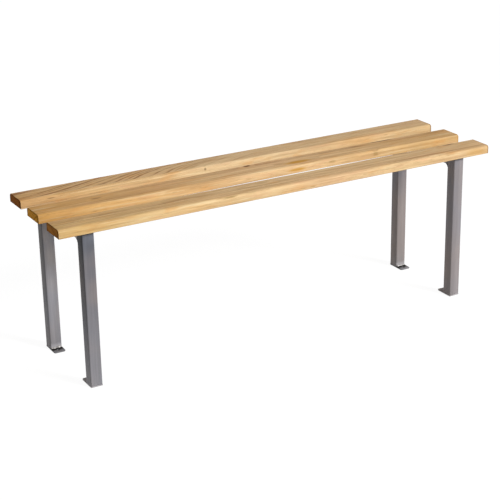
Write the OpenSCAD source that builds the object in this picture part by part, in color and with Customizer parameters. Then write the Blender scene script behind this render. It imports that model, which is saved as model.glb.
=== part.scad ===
// Three-slat bench: hardwood slats on two welded box-section end frames that bolt down through foot plates.
// Millimetres. The origin is on the floor under the middle of the seat. X runs along the slats,
// the front of the bench faces -Y and +Z is up.

/* [Seat] */
// Length of the slats
slat_length = 1200; // [800:10:2000]
// Width of each slat
slat_width = 70; // [60:1:90]
// Thickness of each slat
slat_thickness = 22; // [18:1:30]
// Clear gap between neighbouring slats
slat_gap = 49; // [10:1:80]
// Height of the seat's top face above the floor
seat_height = 411; // [300:1:500]
// Rounding of the long top edges of a slat
top_edge_r = 7; // [2:0.5:10]
// Rounding of the long bottom edges of a slat
bottom_edge_r = 2; // [0.5:0.5:4]

/* [End frames] */
// Outside width of the square leg tube
leg_w = 30; // [25:1:36]
// Wall of the leg tube
leg_wall = 2; // [1.5:0.5:3]
// Outside corner radius of the leg tube
leg_corner_r = 3; // [1:0.5:5]
// Outside width of the cross rail tube
rail_w = 30; // [20:1:36]
// Outside height of the cross rail tube
rail_h = 25; // [20:1:40]
// Wall of the cross rail tube
rail_wall = 2; // [1.5:0.5:3]
// Outside corner radius of the cross rail tube
rail_corner_r = 2.5; // [1:0.5:4]
// From the slats' ends to the outer faces of the legs
frame_inset = 62; // [20:1:200]
// From the seat's front and rear edges back to the outer faces of the legs
frame_setback = 15; // [5:1:20]
// Leg length of the concave fillet weld under each rail end
rail_weld = 7; // [3:0.5:10]
// Thickness left at the toes of the rail weld
weld_toe = 0.6; // [0.3:0.1:1]
// How far the rail weld stops short of the tubes' sides
weld_stop = 0.5; // [0.3:0.1:3]

/* [Feet] */
// Thickness of the foot plates
foot_t = 3; // [2:0.5:6]
// Length of a foot plate, from the leg's outer face inwards
foot_length = 55; // [50:1:80]
// Radius of the two inner corners of a foot plate
foot_corner_r = 5; // [1:0.5:10]
// Radius of the two outer corners of a foot plate
foot_outer_r = 1; // [0.5:0.5:3]
// Diameter of the floor bolt's hole
bolt_hole_d = 9; // [6:0.5:11]
// From the plate's inner end to the centre of the bolt hole
bolt_hole_inset = 12.5; // [8:0.5:15]
// Radius of the round weld bead between leg and foot plate
foot_weld = 4.5; // [2:0.5:5]

/* [Slat screws] */
// Shank diameter
screw_d = 4.5; // [3:0.5:6]
// Length under the head
screw_length = 16; // [10:1:18]
// Length of the tapered point
screw_point = 5; // [3:0.5:8]
// Diameter of the pan head
screw_head_d = 9; // [7:0.5:11]
// Height of the pan head
screw_head_h = 3; // [2:0.5:4]
// Diameter of the flat on top of the pan head
screw_crown_d = 5.5; // [4:0.5:6.5]
// Height of the straight rim of the pan head
screw_rim_h = 1.5; // [0.5:0.25:1.75]
// Diameter of the hole in the rail's lower wall that lets the head through
access_hole_d = 12; // [11:0.5:14]
// Clearance round a shank, on the radius
shank_clearance = 0.1; // [0.05:0.05:0.3]
// Free depth of a pilot hole beyond the screw's point
pilot_spare = 1; // [0.5:0.5:2]

/* [Hidden] */
$fn = 64;
wood_colour = "burlywood";
steel_colour = "gray";
weld_colour = "darkgray";
screw_colour = "silver";

left = -1;
right = 1;
front = -1;
rear = 1;
middle = 0;

least_inner_r = 0.4;  // inside corner of a tube whose wall takes up its outside radius
overrun = 1;          // how far a cutting shape passes the face it cuts

slat_pitch = slat_width + slat_gap;
seat_depth = slat_width + 2 * slat_pitch;
frame_top = seat_height - slat_thickness;
rail_z = frame_top - rail_h / 2;
rail_underside = frame_top - rail_h;

frame_x = slat_length / 2 - frame_inset - leg_w / 2;
leg_y = seat_depth / 2 - frame_setback - leg_w / 2;
leg_inner_y = leg_y - leg_w / 2;
rail_length = 2 * leg_inner_y;
outer_slat_inner_y = slat_pitch - slat_width / 2;

slat_rows = [front, middle, rear];
hole_r = screw_d / 2 + shank_clearance;
head_seat_z = frame_top - rail_wall;

// Outer slats are held half way between their inner edge and the leg, the middle slat on its centre line
function screw_y(row) = row * (leg_inner_y + outer_slat_inner_y) / 2;

// Rectangle standing on the X axis, with one radius for its lower and one for its upper corners
module rounded_section(w, h, lower_r, upper_r) {
    polygon([
        [-w / 2 + lower_r, 0], [w / 2 - lower_r, 0],
        [w / 2, lower_r], [w / 2, h - upper_r],
        [w / 2 - upper_r, h], [-w / 2 + upper_r, h],
        [-w / 2, h - upper_r], [-w / 2, lower_r]
    ]);
    for (side = [-1, 1]) {
        translate([side * (w / 2 - lower_r), lower_r]) circle(lower_r);
        translate([side * (w / 2 - upper_r), h - upper_r]) circle(upper_r);
    }
}

// Solid bar of a box tube's outline, standing on the XY plane, centred on Z
module tube_bar(w, h, corner_r, length) {
    translate([0, -h / 2, 0])
        linear_extrude(length) rounded_section(w, h, corner_r, corner_r);
}

// Box tube standing on the XY plane, centred on Z
module box_tube(w, h, wall, corner_r, length) {
    difference() {
        tube_bar(w, h, corner_r, length);
        translate([0, 0, -overrun])
            tube_bar(w - 2 * wall, h - 2 * wall, max(corner_r - wall, least_inner_r), length + 2 * overrun);
    }
}

// Extrudes a profile drawn in the YZ plane along X, centred
module along_x(length) {
    rotate([90, 0, 90]) linear_extrude(length, center = true) children();
}

// Moves a child from a leg's own axes, where +Y points to the other leg, to one corner of the bench
module at_corner(side, face) {
    translate([side * frame_x, face * leg_y, 0])
        mirror([0, face == rear ? 1 : 0, 0]) children();
}

module pilot_holes(row) {
    for (side = [left, right])
        translate([side * frame_x, screw_y(row), frame_top - overrun])
            cylinder(h = overrun + screw_length - rail_wall + pilot_spare, r = hole_r);
}

module slat(row) {
    difference() {
        translate([0, row * slat_pitch, frame_top])
            along_x(slat_length) rounded_section(slat_width, slat_thickness, bottom_edge_r, top_edge_r);
        pilot_holes(row);
    }
}

module leg() {
    translate([0, 0, foot_t])
        box_tube(leg_w, leg_w, leg_wall, leg_corner_r, frame_top - foot_t);
}

module rail(side) {
    difference() {
        translate([side * frame_x, rail_length / 2, rail_z])
            rotate([90, 0, 0]) box_tube(rail_w, rail_h, rail_wall, rail_corner_r, rail_length);
        for (row = slat_rows)
            translate([side * frame_x, screw_y(row), 0]) {
                translate([0, 0, rail_underside - overrun])
                    cylinder(h = rail_wall + 2 * overrun, d = access_hole_d);
                translate([0, 0, head_seat_z - overrun])
                    cylinder(h = rail_wall + 2 * overrun, r = hole_r);
            }
    }
}

module foot() {
    difference() {
        translate([0, -leg_w / 2, 0])
            linear_extrude(foot_t) rounded_section(leg_w, foot_length, foot_outer_r, foot_corner_r);
        translate([0, foot_length - leg_w / 2 - bolt_hole_inset, -overrun])
            cylinder(h = foot_t + 2 * overrun, d = bolt_hole_d);
    }
}

// Quarter-round bead in the corner between the leg's inner face and the foot plate
module foot_bead() {
    translate([0, leg_w / 2, foot_t])
        along_x(leg_w - 2 * leg_corner_r)
            intersection() {
                square(foot_weld);
                circle(foot_weld);
            }
}

// Concave fillet in the corner between the leg's inner face and the rail's underside, whose metal
// also fills the hollows beside the tubes' round corners
module rail_fillet() {
    difference() {
        translate([0, leg_w / 2, rail_underside])
            along_x(min(leg_w, rail_w) - 2 * weld_stop)
                difference() {
                    union() {
                        translate([-leg_corner_r, -rail_weld]) square([leg_corner_r + rail_weld, rail_weld]);
                        translate([0, -rail_weld]) square([rail_weld, rail_weld + rail_corner_r]);
                    }
                    translate([rail_weld, -rail_weld]) circle(rail_weld - weld_toe);
                }
        tube_bar(leg_w, leg_w, leg_corner_r, frame_top);
        translate([0, leg_w / 2, rail_z])
            rotate([-90, 0, 0]) tube_bar(rail_w, rail_h, rail_corner_r, rail_weld + overrun);
    }
}

module slat_screw() {
    rotate_extrude()
        polygon([
            [0, -screw_head_h], [screw_crown_d / 2, -screw_head_h],
            [screw_head_d / 2, -screw_rim_h], [screw_head_d / 2, 0],
            [screw_d / 2, 0], [screw_d / 2, screw_length - screw_point],
            [0, screw_length]
        ]);
}

module slat_screws(side) {
    for (row = slat_rows)
        translate([side * frame_x, screw_y(row), head_seat_z]) slat_screw();
}

module front_slat() { color(wood_colour) slat(front); }
module middle_slat() { color(wood_colour) slat(middle); }
module rear_slat() { color(wood_colour) slat(rear); }
module left_front_leg() { color(steel_colour) at_corner(left, front) leg(); }
module left_rear_leg() { color(steel_colour) at_corner(left, rear) leg(); }
module right_front_leg() { color(steel_colour) at_corner(right, front) leg(); }
module right_rear_leg() { color(steel_colour) at_corner(right, rear) leg(); }
module left_rail() { color(steel_colour) rail(left); }
module right_rail() { color(steel_colour) rail(right); }
module left_front_foot() { color(steel_colour) at_corner(left, front) foot(); }
module left_rear_foot() { color(steel_colour) at_corner(left, rear) foot(); }
module right_front_foot() { color(steel_colour) at_corner(right, front) foot(); }
module right_rear_foot() { color(steel_colour) at_corner(right, rear) foot(); }
module left_front_foot_weld() { color(weld_colour) at_corner(left, front) foot_bead(); }
module left_rear_foot_weld() { color(weld_colour) at_corner(left, rear) foot_bead(); }
module right_front_foot_weld() { color(weld_colour) at_corner(right, front) foot_bead(); }
module right_rear_foot_weld() { color(weld_colour) at_corner(right, rear) foot_bead(); }
module left_front_rail_weld() { color(weld_colour) at_corner(left, front) rail_fillet(); }
module left_rear_rail_weld() { color(weld_colour) at_corner(left, rear) rail_fillet(); }
module right_front_rail_weld() { color(weld_colour) at_corner(right, front) rail_fillet(); }
module right_rear_rail_weld() { color(weld_colour) at_corner(right, rear) rail_fillet(); }
module left_slat_screws() { color(screw_colour) slat_screws(left); }
module right_slat_screws() { color(screw_colour) slat_screws(right); }

front_slat();
middle_slat();
rear_slat();
left_front_leg();
left_rear_leg();
right_front_leg();
right_rear_leg();
left_rail();
right_rail();
left_front_foot();
left_rear_foot();
right_front_foot();
right_rear_foot();
left_front_foot_weld();
left_rear_foot_weld();
right_front_foot_weld();
right_rear_foot_weld();
left_front_rail_weld();
left_rear_rail_weld();
right_front_rail_weld();
right_rear_rail_weld();
left_slat_screws();
right_slat_screws();
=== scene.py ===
import math
import random
import bmesh
import bpy
from functools import partial
from mathutils import Matrix, Vector


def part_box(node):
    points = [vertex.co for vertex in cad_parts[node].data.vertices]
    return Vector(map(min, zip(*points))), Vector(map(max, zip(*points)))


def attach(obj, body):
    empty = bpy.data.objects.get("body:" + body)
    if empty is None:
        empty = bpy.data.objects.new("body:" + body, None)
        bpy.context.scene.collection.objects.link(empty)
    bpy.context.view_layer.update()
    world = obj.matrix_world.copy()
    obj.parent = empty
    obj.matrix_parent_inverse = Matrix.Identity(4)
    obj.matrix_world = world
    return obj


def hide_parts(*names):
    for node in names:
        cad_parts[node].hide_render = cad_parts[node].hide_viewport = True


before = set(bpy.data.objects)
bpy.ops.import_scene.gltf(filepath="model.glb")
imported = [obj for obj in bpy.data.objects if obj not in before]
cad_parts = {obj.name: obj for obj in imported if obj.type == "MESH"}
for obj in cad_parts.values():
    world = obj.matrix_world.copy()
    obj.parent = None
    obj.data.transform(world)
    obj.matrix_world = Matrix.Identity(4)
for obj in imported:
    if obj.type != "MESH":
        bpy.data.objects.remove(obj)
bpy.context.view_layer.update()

scene = bpy.context.scene
scene.view_settings.view_transform = "Standard"
tiny = 1e-5             # how near counts as on a plane, metres
holeSteps = 40          # sides of a drilled hole
smoothAngle = 35        # degrees: sharper edges stay edges
noiseSpan = (0.3, 0.7)  # nearly all of a noise texture's values lie here
sides = ("left", "right")
faces = ("front", "rear")
print("frame loaded:", len(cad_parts), "CAD nodes")


# Nodes and colours

eased = {"interpolation_type": "SMOOTHSTEP"}  # for a map range with soft ends


def hexToLinear(colour):
    channels = [int(colour[i:i + 2], 16) / 255 for i in (1, 3, 5)]
    linear = [c / 12.92 if c <= 0.04045 else ((c + 0.055) / 1.055) ** 2.4 for c in channels]
    return (*linear, 1.0)


def setInputs(node, inputs):
    # A list fills the sockets in order, a dictionary by name or number
    for key, value in inputs.items() if isinstance(inputs, dict) else enumerate(inputs):
        socket = node.inputs[key] if isinstance(key, int) else next(
            s for s in node.inputs if s.enabled and s.name == key)
        if isinstance(value, bpy.types.Node):
            value = next(s for s in value.outputs if s.enabled)
        if isinstance(value, bpy.types.NodeSocket):
            node.id_data.links.new(value, socket)
        else:
            socket.default_value = value


def addNode(tree, kind, inputs=(), stops=(), **settings):
    node = tree.nodes.new("ShaderNode" + kind)
    for name, value in settings.items():
        setattr(node, name, value)
    setInputs(node, inputs)
    if stops:  # a colour ramp's places and colours
        elements = node.color_ramp.elements
        while len(elements) < len(stops):
            elements.new(1.0)
        for element, (place, colour) in zip(elements, stops):
            element.position = place
            element.color = hexToLinear(colour)
    return node


def newMaterial(name):
    material = bpy.data.materials.new(name)
    material.use_nodes = True
    tree = material.node_tree
    return material, partial(addNode, tree), tree.nodes["Principled BSDF"]


# Modelling steps that every piece shares

def deselectAll():
    if bpy.context.mode != "OBJECT":
        bpy.ops.object.mode_set(mode="OBJECT")
    bpy.ops.object.select_all(action="DESELECT")


def nameActive(name):
    piece = bpy.context.active_object
    piece.name = name
    piece.data.name = name
    return piece


def addBox(name, low, high):
    deselectAll()
    bpy.ops.mesh.primitive_cube_add(size=1, location=(low + high) / 2)
    piece = nameActive(name)
    piece.scale = high - low
    bpy.ops.object.transform_apply(location=True, rotation=True, scale=True)
    return piece


def makeActive(piece):
    deselectAll()
    piece.select_set(True)
    bpy.context.view_layer.objects.active = piece


def pick(kind, test):
    mesh = bpy.context.edit_object.data
    bpy.ops.mesh.select_mode(type=kind)
    bpy.ops.mesh.select_all(action="DESELECT")
    shape = bmesh.from_edit_mesh(mesh)
    for item in {"EDGE": shape.edges, "FACE": shape.faces}[kind]:
        item.select_set(test(item))
    shape.select_flush_mode()
    bmesh.update_edit_mesh(mesh)


def at(item, axis, value):
    return all(abs(vert.co[axis] - value) < tiny for vert in item.verts)


def runs(edge, axis):
    along = edge.verts[1].co - edge.verts[0].co
    return abs(along[axis]) > 0.999 * along.length


def bevelPicked(width, steps, profile=0.5):
    bpy.ops.mesh.bevel(offset=width, offset_type="OFFSET", segments=steps, profile=profile,
                       affect="EDGES", clamp_overlap=True)


def applyModifier(piece, kind, **settings):
    makeActive(piece)
    modifier = piece.modifiers.new(kind.lower(), kind)
    for name, value in settings.items():
        setattr(modifier, name, value)
    bpy.ops.object.modifier_apply(modifier=modifier.name)


def drill(piece, centre, radius, length):
    deselectAll()
    bpy.ops.mesh.primitive_cylinder_add(vertices=holeSteps, radius=radius, depth=length, location=centre)
    bit = nameActive("drill")
    applyModifier(piece, "BOOLEAN", object=bit, operation="DIFFERENCE", solver="EXACT")
    bpy.data.objects.remove(bit)


def copyPiece(piece, name, turn):
    twin = piece.copy()
    twin.data = piece.data.copy()
    twin.name = name
    twin.data.name = name
    twin.data.transform(turn)
    scene.collection.objects.link(twin)
    return twin


def joinPieces(pieces):
    deselectAll()
    for piece in pieces:
        piece.select_set(True)
    bpy.context.view_layer.objects.active = pieces[0]
    bpy.ops.object.join()


def finishPiece(piece, node, material, smooth=smoothAngle):
    makeActive(piece)
    bpy.ops.object.shade_smooth_by_angle(angle=math.radians(smooth))
    piece.data.materials.clear()
    piece.data.materials.append(material)
    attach(piece, "root")
    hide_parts(node)


# Camera at the photograph's place

view = {
    "place": (-1.68647, -2.95280, 1.49718),
    "azimuth": -29.353,
    "elevation": 20.983,
    "roll": -1.015,
    "lens": 102.764,
    "sensor": 36.0,
}
cameraData = bpy.data.cameras.new("benchCamera")
cameraData.lens = view["lens"]
cameraData.sensor_width = view["sensor"]
camera = bpy.data.objects.new("benchCamera", cameraData)
scene.collection.objects.link(camera)
camera.matrix_world = (
    Matrix.Translation(view["place"])
    @ Matrix.Rotation(math.radians(view["azimuth"]), 4, "Z")
    @ Matrix.Rotation(math.radians(90 - view["elevation"]), 4, "X")
    @ Matrix.Rotation(math.radians(view["roll"]), 4, "Z")
)
scene.camera = camera
print("camera set")


# Ash slats

# Places are from a board's middle in metres, and tones and figure (the ring lines' strength) run from its
# left end to its right end. A crown is its rise, its middle and half its length; ends move along the bench.
# A mark is its place, its reach, its colour and its strength
boards = {
    "front": {
        "pith": (0.050, -0.090), "tilt": 0.8, "yaw": 0.5, "ring": 0.0062, "wander": 0.012, "seed": 3.0,
        "figure": (0.46, 0.38), "crown": (0.0, 0.0, 0.5), "ends": (0.0, 0.006),
        "tones": ("#d6b379", "#e2c394", "#d2b284"), "endGrain": "#8e5c23",
        "marks": [((-0.167, -0.035, 0.009), (0.016, 0.004, 0.0018), "mineral", 0.6),
                  ((-0.021, -0.035, -0.0105), (0.020, 0.004, 0.0012), "mineral", 0.5),
                  ((0.064, -0.035, -0.005), (0.008, 0.004, 0.0016), "mineral", 0.4),
                  ((-0.053, 0.012, 0.011), (0.018, 0.004, 0.006), "mineral", 0.35),
                  ((0.518, 0.027, 0.011), (0.016, 0.005, 0.006), "knot", 0.7),
                  ((0.562, -0.035, -0.001), (0.030, 0.004, 0.009), "honey", 0.3)],
    },
    "middle": {
        "pith": (-0.070, -0.080), "tilt": -0.7, "yaw": 0.4, "ring": 0.0070, "wander": 0.012, "seed": 11.0,
        "figure": (0.42, 0.42), "crown": (0.0024, 0.11, 0.50), "ends": (0.0, 0.0),
        "tones": ("#d2a25e", "#e2bf90", "#c8a36c"), "endGrain": "#b37d2b",
        "marks": [((-0.437, 0.004, 0.011), (0.012, 0.0026, 0.006), "knot", 0.55),
                  ((-0.017, 0.026, 0.012), (0.009, 0.0060, 0.010), "knot", 1.0),
                  ((0.390, 0.028, 0.012), (0.036, 0.0050, 0.008), "knot", 0.8),
                  ((0.109, -0.014, 0.012), (0.034, 0.0100, 0.006), "honey", 0.9),
                  ((0.095, -0.035, 0.001), (0.024, 0.004, 0.0036), "honey", 0.75),
                  ((0.199, -0.035, 0.004), (0.010, 0.004, 0.0030), "mineral", 0.4),
                  ((0.332, -0.035, 0.003), (0.007, 0.004, 0.0050), "mineral", 0.4)],
    },
    "rear": {
        "pith": (-0.17, -2.0), "tilt": 1.8, "yaw": 0.3, "ring": 0.00145, "wander": 0.005, "seed": 23.0,
        "figure": (2.2, 0.10), "crown": (0.0, 0.0, 0.5), "ends": (0.003, -0.002),
        "tones": ("#d4ac74", "#dfc296", "#cfb184"), "endGrain": "#7e4b1b",
        "marks": [((-0.104, -0.035, 0.004), (0.0030, 0.004, 0.0034), "knot", 0.6),
                  ((-0.520, -0.035, 0.004), (0.010, 0.004, 0.0014), "knot", 0.5),
                  ((0.446, -0.035, 0.006), (0.006, 0.004, 0.0014), "mineral", 0.4)],
    },
}

# Three numbers after a pattern's name are its scale per metre along, across and through the board. Four
# numbers are a map range: from, to, and what these become
ash = {
    "lateWood": "#8a5b31",        # dark line of each growth ring
    "silk": "#ecd5a8",            # pale streaks
    "amber": "#cf9049",           # slow drift to orange
    "rose": "#d3a27c",            # and to a pinkish tan
    "pore": "#8f6a3e",
    "mineral": "#8d6f3a",
    "honey": "#c08a28",
    "knot": "#4f3219",
    "fibre": (16, 340, 340),      # streaks of three millimetres down to under one
    "streak": (4.0, 85, 85),      # soft bands of a centimetre
    "silkLine": (6.0, 200, 200),  # pale bands of half a centimetre
    "drift": (2.2, 11, 11),       # slow change of tone along the board
    "patch": (16, 70, 70),        # amber and pinkish patches of a few centimetres
    "pores": (60, 1500, 1500),    # open vessels, drawn about twice as coarse as they are to show at all
    "wander": (1.6, 5, 5),        # how the grain line snakes
    "years": 0.42,                # per ring: how fast good years and bad ones follow each other
    "uneven": (0.25, 0.75, -0.9, 0.9),        # rings by which they push a line aside
    "knotPush": (0.4, 4.0, 0.8, 0.0),         # rings by which a mark does, over so many of its reaches
    "markEdge": (0.5, 1.5),                   # where a mark fades, in reaches from its place
    "lateSpan": (0.14, 0.52),                 # where in a ring the dark line peaks and where it ends
    "ringTones": (0.0, 1.0, 0.30, 1.0),       # the faintest ring and the boldest
    "figureTurn": (-0.4, 0.1),                # where the figure changes, in lengths from the middle
    "faceFigure": (0.2, 0.9, 0.35, 1.0),      # ring lines on a board's edges and on its face
    "patchFigure": (0.36, 0.56, 0.45, 1.15),  # and between the patches and in them
    "streakShare": (0.42, 0.70, 0.0, 0.36),
    "silkShare": (0.50, 0.70, 0.0, 0.55),
    "amberSpan": (0.52, 0.74),                # of the drift and the patches
    "roseSpan": (0.48, 0.26),
    "driftShare": 0.35,
    "patchShare": 0.40,
    "vesselShare": (0.56, 0.66, 0.0, 0.5),
    "earlyPores": (0.02, 0.45, 1.0, 0.2),     # most pores lie early in a ring
    "toneShift": 0.12,                        # how far the drift moves the tone along the board
    "fibreShade": (0.88, 1.12),
    "topShade": (0.93, 0.99, 0.0, 0.13),       # painted shade: share of the orange on the seat's flat tops
    "rough": (0.50, 0.40),                    # hollows and ridges of the fibre
    "gloss": 0.03,
    "relief": (0.16, 0.0004),                 # strength and height of the fibre's bump
    "endRim": (0.62, 1.0, 1.16, 0.60),        # a sawn end's middle and its rim, against its tone
    "endArcs": (0.0, 1.0, 1.15, 0.62),        # its early wood and late wood
    "endRough": 0.85,
    "endGloss": 0.05,
    "endStain": (0.0050, 0.0022, 0.75),       # stain that crept round the right ends: from, to and share
}


def ashMaterial(name, board, centre, size, sawnEnd):
    # Planed ash under satin lacquer: ring lines and open pores run along the board, with a soft sheen;
    # its sawn end drinks the lacquer, so it is brown and dull, with the rings as arcs
    material, add, surface = newMaterial(name)
    length = size.x
    place = add("TexCoord").outputs["Object"]
    onBoard = add("Mapping", {"Vector": place, "Location": -centre})
    along, aside, deep = add("SeparateXYZ", [onBoard]).outputs
    facing = add("NewGeometry").outputs["Normal"]
    up = add("SeparateXYZ", [facing]).outputs["Z"]

    def grain(kind, detail, roughness=0.55):
        spot = add("Mapping", {"Vector": onBoard, "Scale": ash[kind]})
        return add("TexNoise", {"Vector": spot, "W": board["seed"], "Scale": 1.0, "Detail": detail,
                                "Roughness": roughness}, noise_dimensions="4D")

    # Growth rings round the pith, seen as lines on the faces and arcs on the ends
    snake = add("VectorMath", [grain("wander", 2.0).outputs["Color"], (0.5, 0.5, 0.5)], operation="SUBTRACT")
    reach = (0.0, 2 * board["wander"], 2 * board["wander"])
    wandering = add("VectorMath", [snake, reach, onBoard], operation="MULTIPLY_ADD")
    fromPith = add("Mapping", {
        "Vector": wandering, "Location": (0.0, -board["pith"][0], -board["pith"][1]),
        "Rotation": (0.0, math.radians(board["tilt"]), math.radians(board["yaw"]))})
    radial = add("VectorMath", [fromPith, (0.0, 1.0, 1.0)], operation="MULTIPLY")
    radius = add("VectorMath", [radial], operation="LENGTH")
    phase = add("Math", [radius, 1 / board["ring"]], operation="MULTIPLY")
    yearly = add("Math", [phase, ash["years"]], operation="MULTIPLY")
    years = add("TexNoise", {"W": yearly, "Scale": 1.0, "Detail": 1.0}, noise_dimensions="1D")
    uneven = add("MapRange", [years, *ash["uneven"]])
    phase = add("Math", [phase, uneven], operation="ADD")

    # Knots and mineral streaks, which push the rings aside
    spots = []
    for spot, extent, colour, strength in board["marks"]:
        away = add("VectorMath", [onBoard, spot], operation="SUBTRACT")
        away = add("VectorMath", [away, tuple(1 / e for e in extent)], operation="MULTIPLY")
        apart = add("VectorMath", [away], operation="LENGTH")
        push = add("MapRange", [apart, *ash["knotPush"]], interpolation_type="SMOOTHERSTEP")
        phase = add("Math", [phase, push], operation="ADD")
        spots.append((add("MapRange", [apart, *ash["markEdge"], strength, 0.0], **eased), ash[colour]))

    inRing = add("Math", [phase], operation="FRACT")
    ringNumber = add("Math", [phase], operation="FLOOR")
    ringTone = add("TexWhiteNoise", {"W": ringNumber}, noise_dimensions="1D").outputs["Value"]
    peak, end = ash["lateSpan"]
    rising = add("MapRange", [inRing, 0.0, peak, 0.0, 1.0], **eased)
    falling = add("MapRange", [inRing, peak, end, 1.0, 0.0], **eased)
    lateWood = add("Math", [rising, falling], operation="MULTIPLY")
    if sawnEnd:
        ways = []
        for way, half in ((aside, size.y / 2), (deep, size.z / 2)):
            out = add("Math", [way], operation="ABSOLUTE")
            ways.append(add("Math", [out, half], operation="DIVIDE"))
        toEdge = add("Math", ways, operation="MAXIMUM")
        rim = add("MapRange", [toEdge, *ash["endRim"]], **eased)
        arcs = add("MapRange", [lateWood, *ash["endArcs"]])
        shade = add("Math", [rim, arcs], operation="MULTIPLY")
        sawn = add("VectorMath", {0: hexToLinear(board["endGrain"])[:3], "Scale": shade}, operation="SCALE")
        setInputs(surface, {"Base Color": sawn, "Roughness": ash["endRough"],
                            "Specular IOR Level": ash["endGloss"]})
        return material

    # Dark grain: ring lines, bolder on the seat's face, and streaks
    turnFrom, turnTo = (share * length for share in ash["figureTurn"])
    patch = grain("patch", 2.0)
    figure = add("MapRange", [ringTone, *ash["ringTones"]])
    for span in ([along, turnFrom, turnTo, *board["figure"]], [up, *ash["faceFigure"]],
                 [patch, *ash["patchFigure"]]):
        figure = add("Math", [figure, add("MapRange", span, **eased)], operation="MULTIPLY")
    rings = add("Math", [lateWood, figure], operation="MULTIPLY")
    streaks = add("MapRange", [grain("streak", 3.0), *ash["streakShare"]], **eased)
    dark = add("Math", [rings, streaks], operation="ADD")

    # Colour: tone along the board, dark grain, pale silk, drift to amber and rose
    shift = add("MapRange", [grain("drift", 2.0), *noiseSpan, -ash["toneShift"], ash["toneShift"]])
    toneAt = add("MapRange", [along, -length / 2, length / 2, 0.0, 1.0])
    toneAt = add("Math", [toneAt, shift], operation="ADD")
    wood = add("ValToRGB", [toneAt], stops=[
        (i / (len(board["tones"]) - 1), tone) for i, tone in enumerate(board["tones"])])
    silk = add("MapRange", [grain("silkLine", 2.0), *ash["silkShare"]], **eased)
    layers = [(dark, ash["lateWood"]), (silk, ash["silk"])]
    for cloud, share in ((grain("drift", 3.0), ash["driftShare"]), (patch, ash["patchShare"])):
        layers += [(add("MapRange", [cloud, *ash["amberSpan"], 0.0, share], **eased), ash["amber"]),
                   (add("MapRange", [cloud, *ash["roseSpan"], 0.0, share], **eased), ash["rose"])]
    for share, colour in layers:
        wood = add("Mix", {"Factor": share, "A": wood, "B": hexToLinear(colour)}, data_type="RGBA")

    # Fibres and pores, marks, stain at the right end, and painted shade: the seat's flat tops tinted a darker
    # orange
    fibre = grain("fibre", 4.0, 0.68)
    shade = add("MapRange", [fibre, *noiseSpan, *ash["fibreShade"]])
    wood = add("VectorMath", {0: wood, "Scale": shade}, operation="SCALE")
    vessels = add("MapRange", [grain("pores", 1.0), *ash["vesselShare"]], **eased)
    early = add("MapRange", [inRing, *ash["earlyPores"]], **eased)
    pores = add("Math", [vessels, early], operation="MULTIPLY")
    start, full, stain = ash["endStain"]
    ended = add("MapRange", [along, length / 2 - start, length / 2 - full, 0.0, stain], **eased)
    # painted shade: the flat tops turn a darker orange
    topShade = add("MapRange", [up, *ash["topShade"]], **eased)
    for share, colour in ((pores, ash["pore"]), *spots, (ended, board["endGrain"]), (topShade, ash["amber"])):
        wood = add("Mix", {"Factor": share, "A": wood, "B": hexToLinear(colour)}, data_type="RGBA")

    sheen = add("MapRange", [fibre, *noiseSpan, *ash["rough"]])
    raised = add("Math", [fibre, pores], operation="SUBTRACT")
    strength, height = ash["relief"]
    bump = add("Bump", {"Height": raised, "Strength": strength, "Distance": height})
    setInputs(surface, {"Base Color": wood, "Roughness": sheen, "Normal": bump, "IOR": 1.5,
                        "Specular IOR Level": ash["gloss"]})
    return material


slat = {
    "topRound": 0.007,     # long top edges
    "bottomRound": 0.002,  # long bottom edges
    "endEase": 0.0018,     # sanded edges of the sawn ends
    "topSteps": 10,
    "bottomSteps": 4,
    "endSteps": 3,
    "cuts": 31,            # along the length, for the crown
    "longEdge": 0.5,       # edges longer than this are cut
    "endFacing": 0.4,      # faces that look along the bench more than this are sawn ends
}


def makeSlat(row):
    node = row + "_slat"
    low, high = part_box(node)
    low.x, high.x = (x + shift for x, shift in zip((low.x, high.x), boards[row]["ends"]))
    piece = addBox("ashSlat_" + row, low, high)
    bpy.ops.object.mode_set(mode="EDIT")
    pick("EDGE", lambda edge: runs(edge, 0) and at(edge, 2, high.z))
    bevelPicked(slat["topRound"], slat["topSteps"])
    pick("EDGE", lambda edge: runs(edge, 0) and at(edge, 2, low.z))
    bevelPicked(slat["bottomRound"], slat["bottomSteps"])
    pick("EDGE", lambda edge: at(edge, 0, low.x) or at(edge, 0, high.x))
    bevelPicked(slat["endEase"], slat["endSteps"])
    pick("EDGE", lambda edge: runs(edge, 0) and edge.calc_length() > slat["longEdge"])
    bpy.ops.mesh.subdivide(number_cuts=slat["cuts"])
    bpy.ops.object.mode_set(mode="OBJECT")
    rise, middle, reach = boards[row]["crown"]
    for vert in piece.data.vertices:
        vert.co.z += rise * max(0.0, 1 - ((vert.co.x - middle) / reach) ** 2) ** 2
    where = (boards[row], (low + high) / 2, high - low)
    finishPiece(piece, node, ashMaterial("lacqueredAsh_" + row, *where, False))
    piece.data.materials.append(ashMaterial("sawnAshEnd_" + row, *where, True))
    for face in piece.data.polygons:
        face.material_index = int(abs(face.normal.x) > slat["endFacing"])


for row in boards:
    makeSlat(row)
print("slats made")


# Steel end frames

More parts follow.
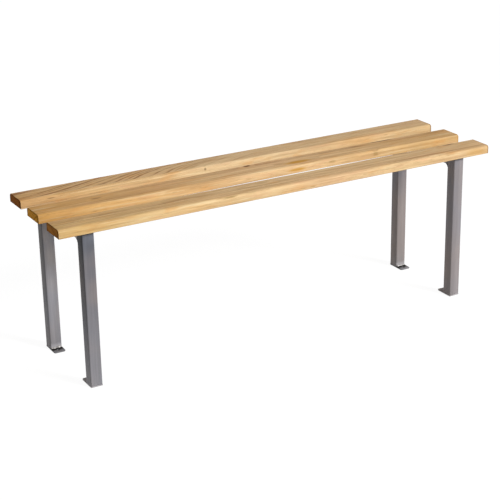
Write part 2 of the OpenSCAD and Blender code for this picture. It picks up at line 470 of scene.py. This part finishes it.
coat = {  # four numbers are a map range, as for the ash
    "grey": ("#8f8b8d", "#8f8b8d"),
    "warm": "#968a85",
    "cool": "#7f8490",
    # near black of the weld toes, of the leg's joint line and of the plates' dark band
    "weldBlack": "#1a1817",
    "scorch": "#b9b7ba",
    "cloud": 6,                   # per metre: warm and cool clouds
    "coolShare": (0.50, 0.34, 0.0, 0.5),
    "warmShare": (0.50, 0.66, 0.0, 0.5),
    "band": 42,                   # soft tone bands of about a centimetre
    "bandShade": (0.90, 1.10),
    "line": 380,                  # fine lines from drawing the tube
    "lineShade": (0.94, 1.06),
    "fleck": 1700,                # metal fleck, drawn coarse so that it shows
    "fleckShade": (0.95, 1.05),
    "cornerShade": (0.5, 0.95, 0.92, 1.0),  # painted shade on the rounded corners, against the flats
    "legHeight": 0.389,
    "rough": (0.38, 0.50),
    "gloss": 0.06,
    "bump": 0.14,
    "peel": 420,                  # orange peel of about 2.5 mm
    "peelDepth": 0.0002,
    "ragged": 260,                # edges of the marks below
    "markRagged": 0.0012,
    "leftFace": (-0.95, -0.6, 1.0, 0.0),       # which way a leg's left face looks
    "innerFace": (-0.9, -0.5, 1.0, 0.0),       # and its face towards the bench's middle
    "ground": (0.0084, 0.014, 0.14, 0.0),      # grinder's marks above the foot, by height
    "scorched": (0.0070, 0.0190, 0.55, 0.0),   # pale heat mark over the bead, by height
    "joint": (0.0040, 0.0060, 0.85, 0.0),      # dark line where leg meets plate, by height
    "jointOutside": 0.15,                      # that line on a leg's other faces
    "plateBandStart": (0.0930, 0.0985, 0.0, 0.97),  # the dark band on a plate, out from the bench's middle
    "plateBandEnd": (0.1095, 0.1125),
    "plateBandOnTop": (0.3, 0.8, 0.4, 1.0),         # less on a plate's rims
    "plateBandRagged": 0.0022,
}


def coatMaterial(name, lengthwise, marks, tones=coat["grey"], plateBandAndLeftShade=1.0):
    # Satin steel-grey coat on drawn tube: fine fleck, faint orange peel, soft bands and lines along the tube,
    # painted shade on the rounded corners, and dark and heat marks by the welds. The tones run from the foot
    # to the top and carry painted light and shade on the legs, front plates and fillets. The last argument is
    # a plate's share of its dark band, or how much of its tone a leg's left face keeps at the top, which is
    # painted shade under the slats
    material, add, surface = newMaterial(name)
    place = add("TexCoord").outputs["Object"]
    spot = add("SeparateXYZ", [place]).outputs
    facing = add("NewGeometry").outputs["Normal"]
    normal = add("SeparateXYZ", [facing]).outputs

    def pattern(kind, detail, stretch=(1, 1, 1)):
        drawn = add("Mapping", {"Vector": place, "Scale": tuple(coat[kind] * s for s in stretch)})
        return add("TexNoise", {"Vector": drawn, "Scale": 1.0, "Detail": detail})

    # Tone of the coat, with the painted light and shade that the tones carry
    rise = add("MapRange", [spot["Z"], 0.0, coat["legHeight"], 0.0, 1.0])
    colour = add("ValToRGB", [rise], stops=list(enumerate(tones)))
    cloud = pattern("cloud", 2.0)
    for tint in ("cool", "warm"):
        share = add("MapRange", [cloud, *coat[tint + "Share"]], **eased)
        colour = add("Mix", {"Factor": share, "A": colour, "B": hexToLinear(coat[tint])}, data_type="RGBA")
    fleck = pattern("fleck", 1.0)
    squared = add("VectorMath", [facing, facing], operation="MULTIPLY")
    squares = add("SeparateXYZ", [squared]).outputs
    flat = add("Math", [squares["X"], squares["Y"]], operation="MAXIMUM")
    flat = add("Math", [flat, squares["Z"]], operation="MAXIMUM")
    # the last of these shades is painted shade on the rounded corners
    shades = [add("MapRange", [pattern("band", 2.0, lengthwise), *noiseSpan, *coat["bandShade"]], **eased),
              add("MapRange", [pattern("line", 2.0, lengthwise), *noiseSpan, *coat["lineShade"]]),
              add("MapRange", [fleck, *noiseSpan, *coat["fleckShade"]]),
              add("MapRange", [flat, *coat["cornerShade"]], **eased)]
    relief, depth = pattern("peel", 1.0), coat["peelDepth"]

    # Marks by the welds, and painted shade on a leg's left face
    layers = []
    ragged = add("MapRange", [pattern("ragged", 2.0), *noiseSpan, -1.0, 1.0])
    if marks == "leg":
        level = add("Math", [ragged, coat["markRagged"], spot["Z"]], operation="MULTIPLY_ADD")
        ground = add("MapRange", [level, *coat["ground"]], **eased)
        leftFace = add("MapRange", [normal["X"], *coat["leftFace"]], **eased)
        # painted shade: a leg's left face darkens towards the top, under the slats
        leftShadeUnderSlats = add("Math", [leftFace, rise], operation="MULTIPLY")
        shades += [add("Math", [ragged, ground, 1.0], operation="MULTIPLY_ADD"),
                   add("MapRange", [leftShadeUnderSlats, 0.0, 1.0, 1.0, plateBandAndLeftShade])]
        outward = add("Math", [spot["Y"]], operation="SIGN")
        towards = add("Math", [normal["Y"], outward], operation="MULTIPLY")
        inside = add("MapRange", [towards, *coat["innerFace"]], **eased)
        allRound = add("Math", [inside, coat["jointOutside"]], operation="MAXIMUM")
        for where, mark, tint in ((inside, "scorched", "scorch"), (allRound, "joint", "weldBlack")):
            height = add("MapRange", [level, *coat[mark]], **eased)
            layers.append((add("Math", [where, height], operation="MULTIPLY"), coat[tint]))
    if marks == "plate":
        # a dark band on a plate just in front of the leg, less on its rims
        fromMiddle = add("Math", [spot["Y"]], operation="ABSOLUTE")
        out = add("Math", [ragged, coat["plateBandRagged"], fromMiddle], operation="MULTIPLY_ADD")
        plateBand = add("MapRange", [normal["Z"], *coat["plateBandOnTop"]], **eased)
        for span in (coat["plateBandStart"], (*coat["plateBandEnd"], plateBandAndLeftShade, 0.0)):
            plateBand = add("Math", [plateBand, add("MapRange", [out, *span], **eased)], operation="MULTIPLY")
        layers.append((plateBand, coat["weldBlack"]))
    if marks == "fillet":
        relief = add("TexWave", {"Vector": place, "Scale": weld["ripple"], "Distortion": weld["calm"]},
                     bands_direction="X").outputs["Fac"]
        depth = weld["filletDepth"]

    for shade in shades:
        colour = add("VectorMath", {0: colour, "Scale": shade}, operation="SCALE")
    for share, tint in layers:
        colour = add("Mix", {"Factor": share, "A": colour, "B": hexToLinear(tint)}, data_type="RGBA")
    bump = add("Bump", {"Height": relief, "Strength": coat["bump"], "Distance": depth})
    rough = add("MapRange", [fleck, *noiseSpan, *coat["rough"]])
    setInputs(surface, {"Base Color": colour, "Roughness": rough, "Normal": bump,
                        "Specular IOR Level": coat["gloss"]})
    return material


weld = {
    "bright": "#aaa7a6",
    "mid": "#8b8785",
    "metallic": 0.3,
    "rough": (0.65, 0.40),     # at the black toe and on the clean metal
    "toe": (0.0032, 0.0060),   # height over which the black toe gives way
    "toeRagged": 0.0006,
    "ripple": 90,              # per metre
    "calm": 1.5,               # wave distortion on the rails' fillets
    "rippled": 2.5,            # and on the feet's beads
    "pit": 900,
    "filletDepth": 0.0006,
    "relief": (0.45, 0.0004),  # strength and height of the beads' bump
}


def weldMaterial():
    # Bare arc weld: bright rippled metal that turns black along its toe
    material, add, surface = newMaterial("bareWeldMetal")
    place = add("TexCoord").outputs["Object"]
    level = add("SeparateXYZ", [place]).outputs["Z"]
    pit = add("TexNoise", {"Vector": place, "Scale": weld["pit"], "Detail": 2.0})
    ripple = add("TexWave", {"Vector": place, "Scale": weld["ripple"], "Distortion": weld["rippled"]},
                 bands_direction="X").outputs["Fac"]
    shift = add("MapRange", [pit, *noiseSpan, -weld["toeRagged"], weld["toeRagged"]])
    ragged = add("Math", [level, shift], operation="ADD")
    clean = add("MapRange", [ragged, *weld["toe"], 0.0, 1.0], **eased)
    colour = add("ValToRGB", [clean], stops=[
        (0.0, coat["weldBlack"]), (0.30, coat["weldBlack"]), (0.55, weld["mid"]), (1.0, weld["bright"])])
    rough = add("MapRange", [clean, 0.0, 1.0, *weld["rough"]])
    raised = add("Math", [ripple, pit], operation="ADD")
    strength, height = weld["relief"]
    bump = add("Bump", {"Height": raised, "Strength": strength, "Distance": height})
    setInputs(surface, {"Base Color": colour, "Roughness": rough, "Normal": bump,
                        "Metallic": weld["metallic"]})
    return material


zincLook = {"tones": ("#bcb9af", "#d0cdc4"), "rough": (0.26, 0.36), "spangle": 1400.0}  # spangle: per metre


def zincMaterial():
    # Bright zinc plate on screw steel: pale, slightly yellow mirror broken by fine spangle
    material, add, surface = newMaterial("zincPlatedSteel")
    place = add("TexCoord").outputs["Object"]
    spangle = add("TexVoronoi", {"Vector": place, "Scale": zincLook["spangle"]}).outputs
    tone = add("ValToRGB", [spangle["Color"]], stops=list(enumerate(zincLook["tones"])))
    rough = add("MapRange", [spangle["Distance"], 0.0, 1.0, *zincLook["rough"]])
    setInputs(surface, {"Base Color": tone, "Roughness": rough, "Metallic": 1.0})
    return material


tube = {
    "legCorner": 0.003,
    "railCorner": 0.0025,
    "steps": 6,
    "wall": 0.002,
    "drawn": 0.03,  # the coat's noise along the tube against across it
}
legLightAndShade = {  # painted light and shade: each leg's tone at the foot and at the top, darker or lighter at the top where the seat's shade falls, and how much of its tone the left face keeps at the top, painted shade under the slats
    ("left", "front"): (("#8d8b8f", "#62646b"), 0.20),
    ("left", "rear"): (("#878487", "#b4aeac"), 0.12),
    ("right", "front"): (("#8e8889", "#8d8788"), 1.0),
    ("right", "rear"): (("#959090", "#857d7d"), 1.0),
}


def makeTube(name, node, axis, corner):
    low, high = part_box(node)
    piece = addBox(name, low, high)
    bpy.ops.object.mode_set(mode="EDIT")
    pick("EDGE", lambda edge: runs(edge, axis))
    bevelPicked(corner, tube["steps"])
    pick("FACE", lambda face: at(face, axis, low[axis]) or at(face, axis, high[axis]))
    bpy.ops.mesh.delete(type="FACE")
    bpy.ops.object.mode_set(mode="OBJECT")
    applyModifier(piece, "SOLIDIFY", thickness=tube["wall"], offset=-1.0, use_even_offset=True, use_rim=True)
    return piece


firstLeg = makeTube("legTube_left_front", "left_front_leg", 2, tube["legCorner"])
legs = {("left", "front"): firstLeg}
for side in sides:
    for face in faces:
        if (side, face) not in legs:
            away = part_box(f"{side}_{face}_leg")[0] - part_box("left_front_leg")[0]
            legs[side, face] = copyPiece(firstLeg, f"legTube_{side}_{face}", Matrix.Translation(away))
# each leg's tones and left-face share are painted light and shade
for (side, face), piece in legs.items():
    legShading = legLightAndShade[side, face]
    legCoat = coatMaterial(f"satinCoat_leg_{side}_{face}", (1, 1, tube["drawn"]), "leg", *legShading)
    finishPiece(piece, f"{side}_{face}_leg", legCoat)
print("legs made")


rail = {
    "accessHole": 0.012,
    "shankHole": 0.0047,
    "screwEdge": 0.0045,  # from the screws' box to their axis
}
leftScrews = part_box("left_slat_screws")
railCoat = coatMaterial("satinCoat_rail", (1, tube["drawn"], 1), "rail")
screwReach = leftScrews[1].y - rail["screwEdge"]
screwRows = (-screwReach, 0.0, screwReach)
low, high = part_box("left_rail")
middle = (low.x + high.x) / 2
leftRail = makeTube("railTube_left", "left_rail", 1, tube["railCorner"])
for y in screwRows:
    drill(leftRail, (middle, y, low.z), rail["accessHole"] / 2, 4 * tube["wall"])
    drill(leftRail, (middle, y, high.z), rail["shankHole"] / 2, 4 * tube["wall"])
rightRail = copyPiece(leftRail, "railTube_right", Matrix.Translation(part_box("right_rail")[0] - low))
finishPiece(leftRail, "left_rail", railCoat)
finishPiece(rightRail, "right_rail", railCoat)
print("rails made")


foot = {
    "innerRound": (0.005, 6),  # corner and its steps
    "outerRound": (0.001, 3),
    "hole": 0.009,
    "holeInset": 0.0125,       # from the inner end
    "ease": 0.0004,            # worn rims
    "easeSteps": 2,
    "easeAngle": 50,           # degrees: only sharper edges are eased
}
plateToneAndLight = {  # tones, with painted light on the front plates, lighter against the legs' shadow; and share of the dark band
    ("left", "front"): (("#b0acae", "#b0acae"), 0.35),
    ("left", "rear"): (("#777577", "#777577"), 1.0),
    ("right", "front"): (("#b0acae", "#b0acae"), 0.35),
    ("right", "rear"): (("#86868a", "#86868a"), 1.0),
}


def makeFoot(name, node):
    low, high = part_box(node)
    piece = addBox(name, low, high)
    bpy.ops.object.mode_set(mode="EDIT")
    pick("EDGE", lambda edge: runs(edge, 2) and at(edge, 1, high.y))
    bevelPicked(*foot["innerRound"])
    pick("EDGE", lambda edge: runs(edge, 2) and at(edge, 1, low.y))
    bevelPicked(*foot["outerRound"])
    bpy.ops.object.mode_set(mode="OBJECT")
    holeAt = ((low.x + high.x) / 2, high.y - foot["holeInset"], (low.z + high.z) / 2)
    drill(piece, holeAt, foot["hole"] / 2, 4 * (high.z - low.z))
    applyModifier(piece, "BEVEL", width=foot["ease"], segments=foot["easeSteps"], limit_method="ANGLE",
                  angle_limit=math.radians(foot["easeAngle"]))
    return piece


halfTurn = Matrix.Rotation(math.pi, 4, "Z")
firstFoot = makeFoot("footPlate_left_front", "left_front_foot")
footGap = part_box("right_front_foot")[0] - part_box("left_front_foot")[0]
feet = {
    ("left", "front"): firstFoot,
    ("right", "front"): copyPiece(firstFoot, "footPlate_right_front", Matrix.Translation(footGap)),
    ("right", "rear"): copyPiece(firstFoot, "footPlate_right_rear", halfTurn),
    ("left", "rear"): copyPiece(firstFoot, "footPlate_left_rear", Matrix.Translation(-footGap) @ halfTurn),
}
# painted light: the front plates' tones are lighter, against the legs' shadow
for (side, face), piece in feet.items():
    plateCoat = coatMaterial(f"satinCoat_plate_{side}_{face}", (1, 1, 1), "plate", *plateToneAndLight[side, face])
    finishPiece(piece, f"{side}_{face}_foot", plateCoat)
print("feet made")


beads = {  # each hand-laid bead: lumps of metal, their radius, how uneven they are, seed
    ("left", "front"): (4, 0.0043, 0.0006, 5),
    ("left", "rear"): (2, 0.0054, 0.0005, 8),
    ("right", "front"): (4, 0.0043, 0.0006, 13),
    ("right", "rear"): (5, 0.0044, 0.0004, 21),
}
beadMesh = {
    "drops": (9, 0.0034),  # in the run of metal under the lumps: how many, and their radius
    "stretch": 1.18,       # drops and lumps along the bead
    "round": (24, 12),     # segments and rings of a drop
    "voxel": 0.0004,
    "smoothing": (0.5, 3),
    "snap": 0.00012,       # nearer points move onto the seat, so that its cut leaves no slivers
    "seatRim": 0.00002,
    "smoothAngle": 60,
}
bareWeld = weldMaterial()


def makeBead(side, face):
    lumps, radius, uneven, seed = beads[side, face]
    node = f"{side}_{face}_foot_weld"
    low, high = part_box(node)
    inward = 1 if face == "front" else -1
    legFace = low.y if face == "front" else high.y
    dice = random.Random(seed)
    segments, rings = beadMesh["round"]
    made = []
    for count, reach in ((lumps, radius), beadMesh["drops"]):
        for i in range(count):
            x = low.x + (i + 0.5) / count * (high.x - low.x)
            size = reach + dice.uniform(-uneven, uneven)
            y = legFace + inward * dice.uniform(-uneven, uneven)
            z = low.z + dice.uniform(-uneven, uneven)
            deselectAll()
            bpy.ops.mesh.primitive_uv_sphere_add(segments=segments, ring_count=rings, radius=size,
                                                 location=(x, y, z), scale=(beadMesh["stretch"], 1, 1))
            made.append(nameActive("lump"))
    joinPieces(made)
    piece = nameActive(f"weldBead_{side}_{face}")
    bpy.ops.object.transform_apply(location=True, rotation=True, scale=True)
    applyModifier(piece, "REMESH", mode="VOXEL", voxel_size=beadMesh["voxel"])
    factor, iterations = beadMesh["smoothing"]
    applyModifier(piece, "SMOOTH", factor=factor, iterations=iterations)

    # Seat on leg and plate
    for vert in piece.data.vertices:
        for axis, level in ((1, legFace), (2, low.z)):
            if abs(vert.co[axis] - level) < beadMesh["snap"]:
                vert.co[axis] = level
    room = 4 * radius
    near, far = sorted((legFace, legFace + inward * room))
    seat = addBox("beadSeat", Vector((low.x - room, near, low.z)), Vector((high.x + room, far, low.z + room)))
    applyModifier(piece, "BOOLEAN", object=seat, operation="INTERSECT", solver="EXACT")
    bpy.data.objects.remove(seat)
    applyModifier(piece, "WELD", merge_threshold=tiny)
    bpy.ops.object.mode_set(mode="EDIT")
    pick("FACE", lambda item: at(item, 1, legFace) or at(item, 2, low.z))
    bpy.ops.mesh.inset(thickness=beadMesh["seatRim"], use_individual=True)
    bpy.ops.object.mode_set(mode="OBJECT")
    finishPiece(piece, node, bareWeld, beadMesh["smoothAngle"])


for side, face in beads:
    makeBead(side, face)
print("foot welds made")


fillet = {
    "leg": 0.007,
    "toe": 0.0006,
    "steps": 8,
    "hollow": 0.086,                  # bevel profile of a concave quarter round
    "tones": ("#2c2a2b", "#2c2a2b"),  # near black: painted shade in the crease under the rail
}
# painted shade: the fillets' tones are near black, as in the crease under the rail
filletShadeCoat = coatMaterial("shadedCoat_fillet", (1, 1, 1), "fillet", fillet["tones"])


def makeFillet(name, node):
    low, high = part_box(node)
    piece = addBox(name, low, high)
    bpy.ops.object.mode_set(mode="EDIT")
    pick("EDGE", lambda edge: runs(edge, 0) and at(edge, 1, high.y) and at(edge, 2, low.z))
    bevelPicked(fillet["leg"] - fillet["toe"], fillet["steps"], fillet["hollow"])
    bpy.ops.object.mode_set(mode="OBJECT")
    return piece


firstFillet = makeFillet("railFillet_left_front", "left_front_rail_weld")
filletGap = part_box("right_front_rail_weld")[0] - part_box("left_front_rail_weld")[0]
fillets = {
    ("left", "front"): firstFillet,
    ("right", "front"): copyPiece(firstFillet, "railFillet_right_front", Matrix.Translation(filletGap)),
    ("right", "rear"): copyPiece(firstFillet, "railFillet_right_rear", halfTurn),
    ("left", "rear"): copyPiece(firstFillet, "railFillet_left_rear",
                                Matrix.Translation(-filletGap) @ halfTurn),
}
for (side, face), piece in fillets.items():
    finishPiece(piece, f"{side}_{face}_rail_weld", filletShadeCoat)
print("rail fillets made")


# Slat screws, seen only from below

screw = {
    "headRadius": 0.0045,
    "headHeight": 0.003,
    "crownEase": (0.0014, 5),  # rounding and its steps
    "shankRadius": 0.00225,
    "point": 0.005,
    "slotLength": 0.0046,
    "slotWidth": 0.0010,
    "slotDepth": 0.0017,
    "steps": 32,
}
zinc = zincMaterial()


def makeScrew():
    low, high = leftScrews
    middle = ((low.x + high.x) / 2, screwRows[0])
    seatLevel = low.z + screw["headHeight"]
    deselectAll()
    bpy.ops.mesh.primitive_cylinder_add(vertices=screw["steps"], radius=screw["headRadius"],
                                        depth=screw["headHeight"],
                                        location=(*middle, low.z + screw["headHeight"] / 2))
    piece = nameActive("slatScrew")
    bpy.ops.object.transform_apply(location=True, rotation=True, scale=True)
    bpy.ops.object.mode_set(mode="EDIT")
    pick("EDGE", lambda edge: at(edge, 2, low.z))
    bevelPicked(*screw["crownEase"])
    pick("FACE", lambda face: at(face, 2, seatLevel))
    bpy.ops.mesh.inset(thickness=screw["headRadius"] - screw["shankRadius"])
    shank = high.z - seatLevel - screw["point"]
    bpy.ops.mesh.extrude_region_move(TRANSFORM_OT_translate={"value": (0, 0, shank)})
    bpy.ops.mesh.extrude_region_move(TRANSFORM_OT_translate={"value": (0, 0, screw["point"])})
    bpy.ops.mesh.merge(type="COLLAPSE")
    bpy.ops.object.mode_set(mode="OBJECT")
    for wide, deep in ((screw["slotLength"], screw["slotWidth"]), (screw["slotWidth"], screw["slotLength"])):
        reach = Vector((wide / 2, deep / 2, screw["slotDepth"]))
        crown = Vector((*middle, low.z))
        cutter = addBox("slotCutter", crown - reach, crown + reach)
        applyModifier(piece, "BOOLEAN", object=cutter, operation="DIFFERENCE", solver="EXACT")
        bpy.data.objects.remove(cutter)
    return piece


firstScrew = makeScrew()
for side in sides:
    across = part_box(side + "_slat_screws")[0] - leftScrews[0]
    shifts = [across + Vector((0, y - screwRows[0], 0)) for y in screwRows]
    row = [copyPiece(firstScrew, f"slatScrews_{side}", Matrix.Translation(shift)) for shift in shifts]
    joinPieces(row)
    finishPiece(row[0], side + "_slat_screws", zinc)
bpy.data.objects.remove(firstScrew)
print("screws made")


# Floor and light

stageLook = {
    "floorSize": 40.0,
    "floorLevel": -0.0005,
    "floor": "#cccccc",
    "seenFloor": "#6a6a6a",
    "floorGlow": 0.94,
    "holeShade": (0.005, 0.008),  # the floor seen through a bolt hole lies in shade
    "worldLight": 0.16,
    "aim": Vector((0.0, 0.0, 0.3)),
}
lamps = {  # kind, azimuth to the right of straight ahead, elevation, distance, settings
    "softBox": ("AREA", 30.0, 29.6, 3.2, {"energy": 41.9, "shape": "DISK", "size": 1.0}),
    "daylight": ("SUN", 30.0, 29.6, 6.0, {"energy": 2.245, "angle": math.radians(18)}),
    "fill": ("SUN", -80.0, 2.0, 6.0, {"energy": 0.65, "angle": math.radians(40)}),
    "backFill": ("SUN", 190.0, 1.5, 6.0, {"energy": 0.8, "angle": math.radians(40)}),
}
for name, (kind, azimuth, elevation, distance, settings) in lamps.items():
    lampData = bpy.data.lights.new(name, kind)
    for setting, value in settings.items():
        setattr(lampData, setting, value)
    lamp = bpy.data.objects.new(name, lampData)
    scene.collection.objects.link(lamp)
    a, e = math.radians(azimuth), math.radians(elevation)
    towards = Vector((math.sin(a) * math.cos(e), -math.cos(a) * math.cos(e), math.sin(e)))
    lamp.location = stageLook["aim"] + distance * towards
    lamp.rotation_euler = towards.to_track_quat("Z", "Y").to_euler()
    lamp.visible_camera = False


def seenRays(tree):
    rays = addNode(tree, "LightPath").outputs
    seen = rays["Is Camera Ray"]
    for kind in ("Is Glossy Ray", "Is Transmission Ray"):
        seen = addNode(tree, "Math", [seen, rays[kind]], operation="MAXIMUM")
    return seen


white = (1, 1, 1, 1)
world = bpy.data.worlds.new("studio")
scene.world = world
world.use_nodes = True
tree = world.node_tree
tree.nodes.clear()
lighting = addNode(tree, "Background", {"Color": white, "Strength": stageLook["worldLight"]})
backdrop = addNode(tree, "Background", {"Color": white, "Strength": 1.0})
mixed = addNode(tree, "MixShader", [seenRays(tree), lighting, backdrop])
addNode(tree, "OutputWorld", [mixed])

deselectAll()
bpy.ops.mesh.primitive_plane_add(size=stageLook["floorSize"], location=(0, 0, stageLook["floorLevel"]))
floor = nameActive("floor")
floorMaterial = bpy.data.materials.new("paleFloor")
floorMaterial.use_nodes = True
tree = floorMaterial.node_tree
tree.nodes.clear()
plain = addNode(tree, "BsdfDiffuse", {"Color": hexToLinear(stageLook["floor"])})
shadowed = addNode(tree, "BsdfDiffuse", {"Color": hexToLinear(stageLook["seenFloor"])})
low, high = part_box("right_rear_foot")
holeAt = ((low.x + high.x) / 2, low.y + foot["holeInset"], 0)
place = addNode(tree, "NewGeometry").outputs["Position"]
folded = addNode(tree, "VectorMath", [place], operation="ABSOLUTE")  # all four holes in one
away = addNode(tree, "VectorMath", [folded, holeAt], operation="DISTANCE")
clear = addNode(tree, "MapRange", [away, *stageLook["holeShade"], 0.0, stageLook["floorGlow"]])
glow = addNode(tree, "Emission", {"Color": white, "Strength": clear})
seen = addNode(tree, "AddShader", [shadowed, glow])
mixed = addNode(tree, "MixShader", [seenRays(tree), plain, seen])
addNode(tree, "OutputMaterial", [mixed])
floor.data.materials.append(floorMaterial)
print("floor and light set")
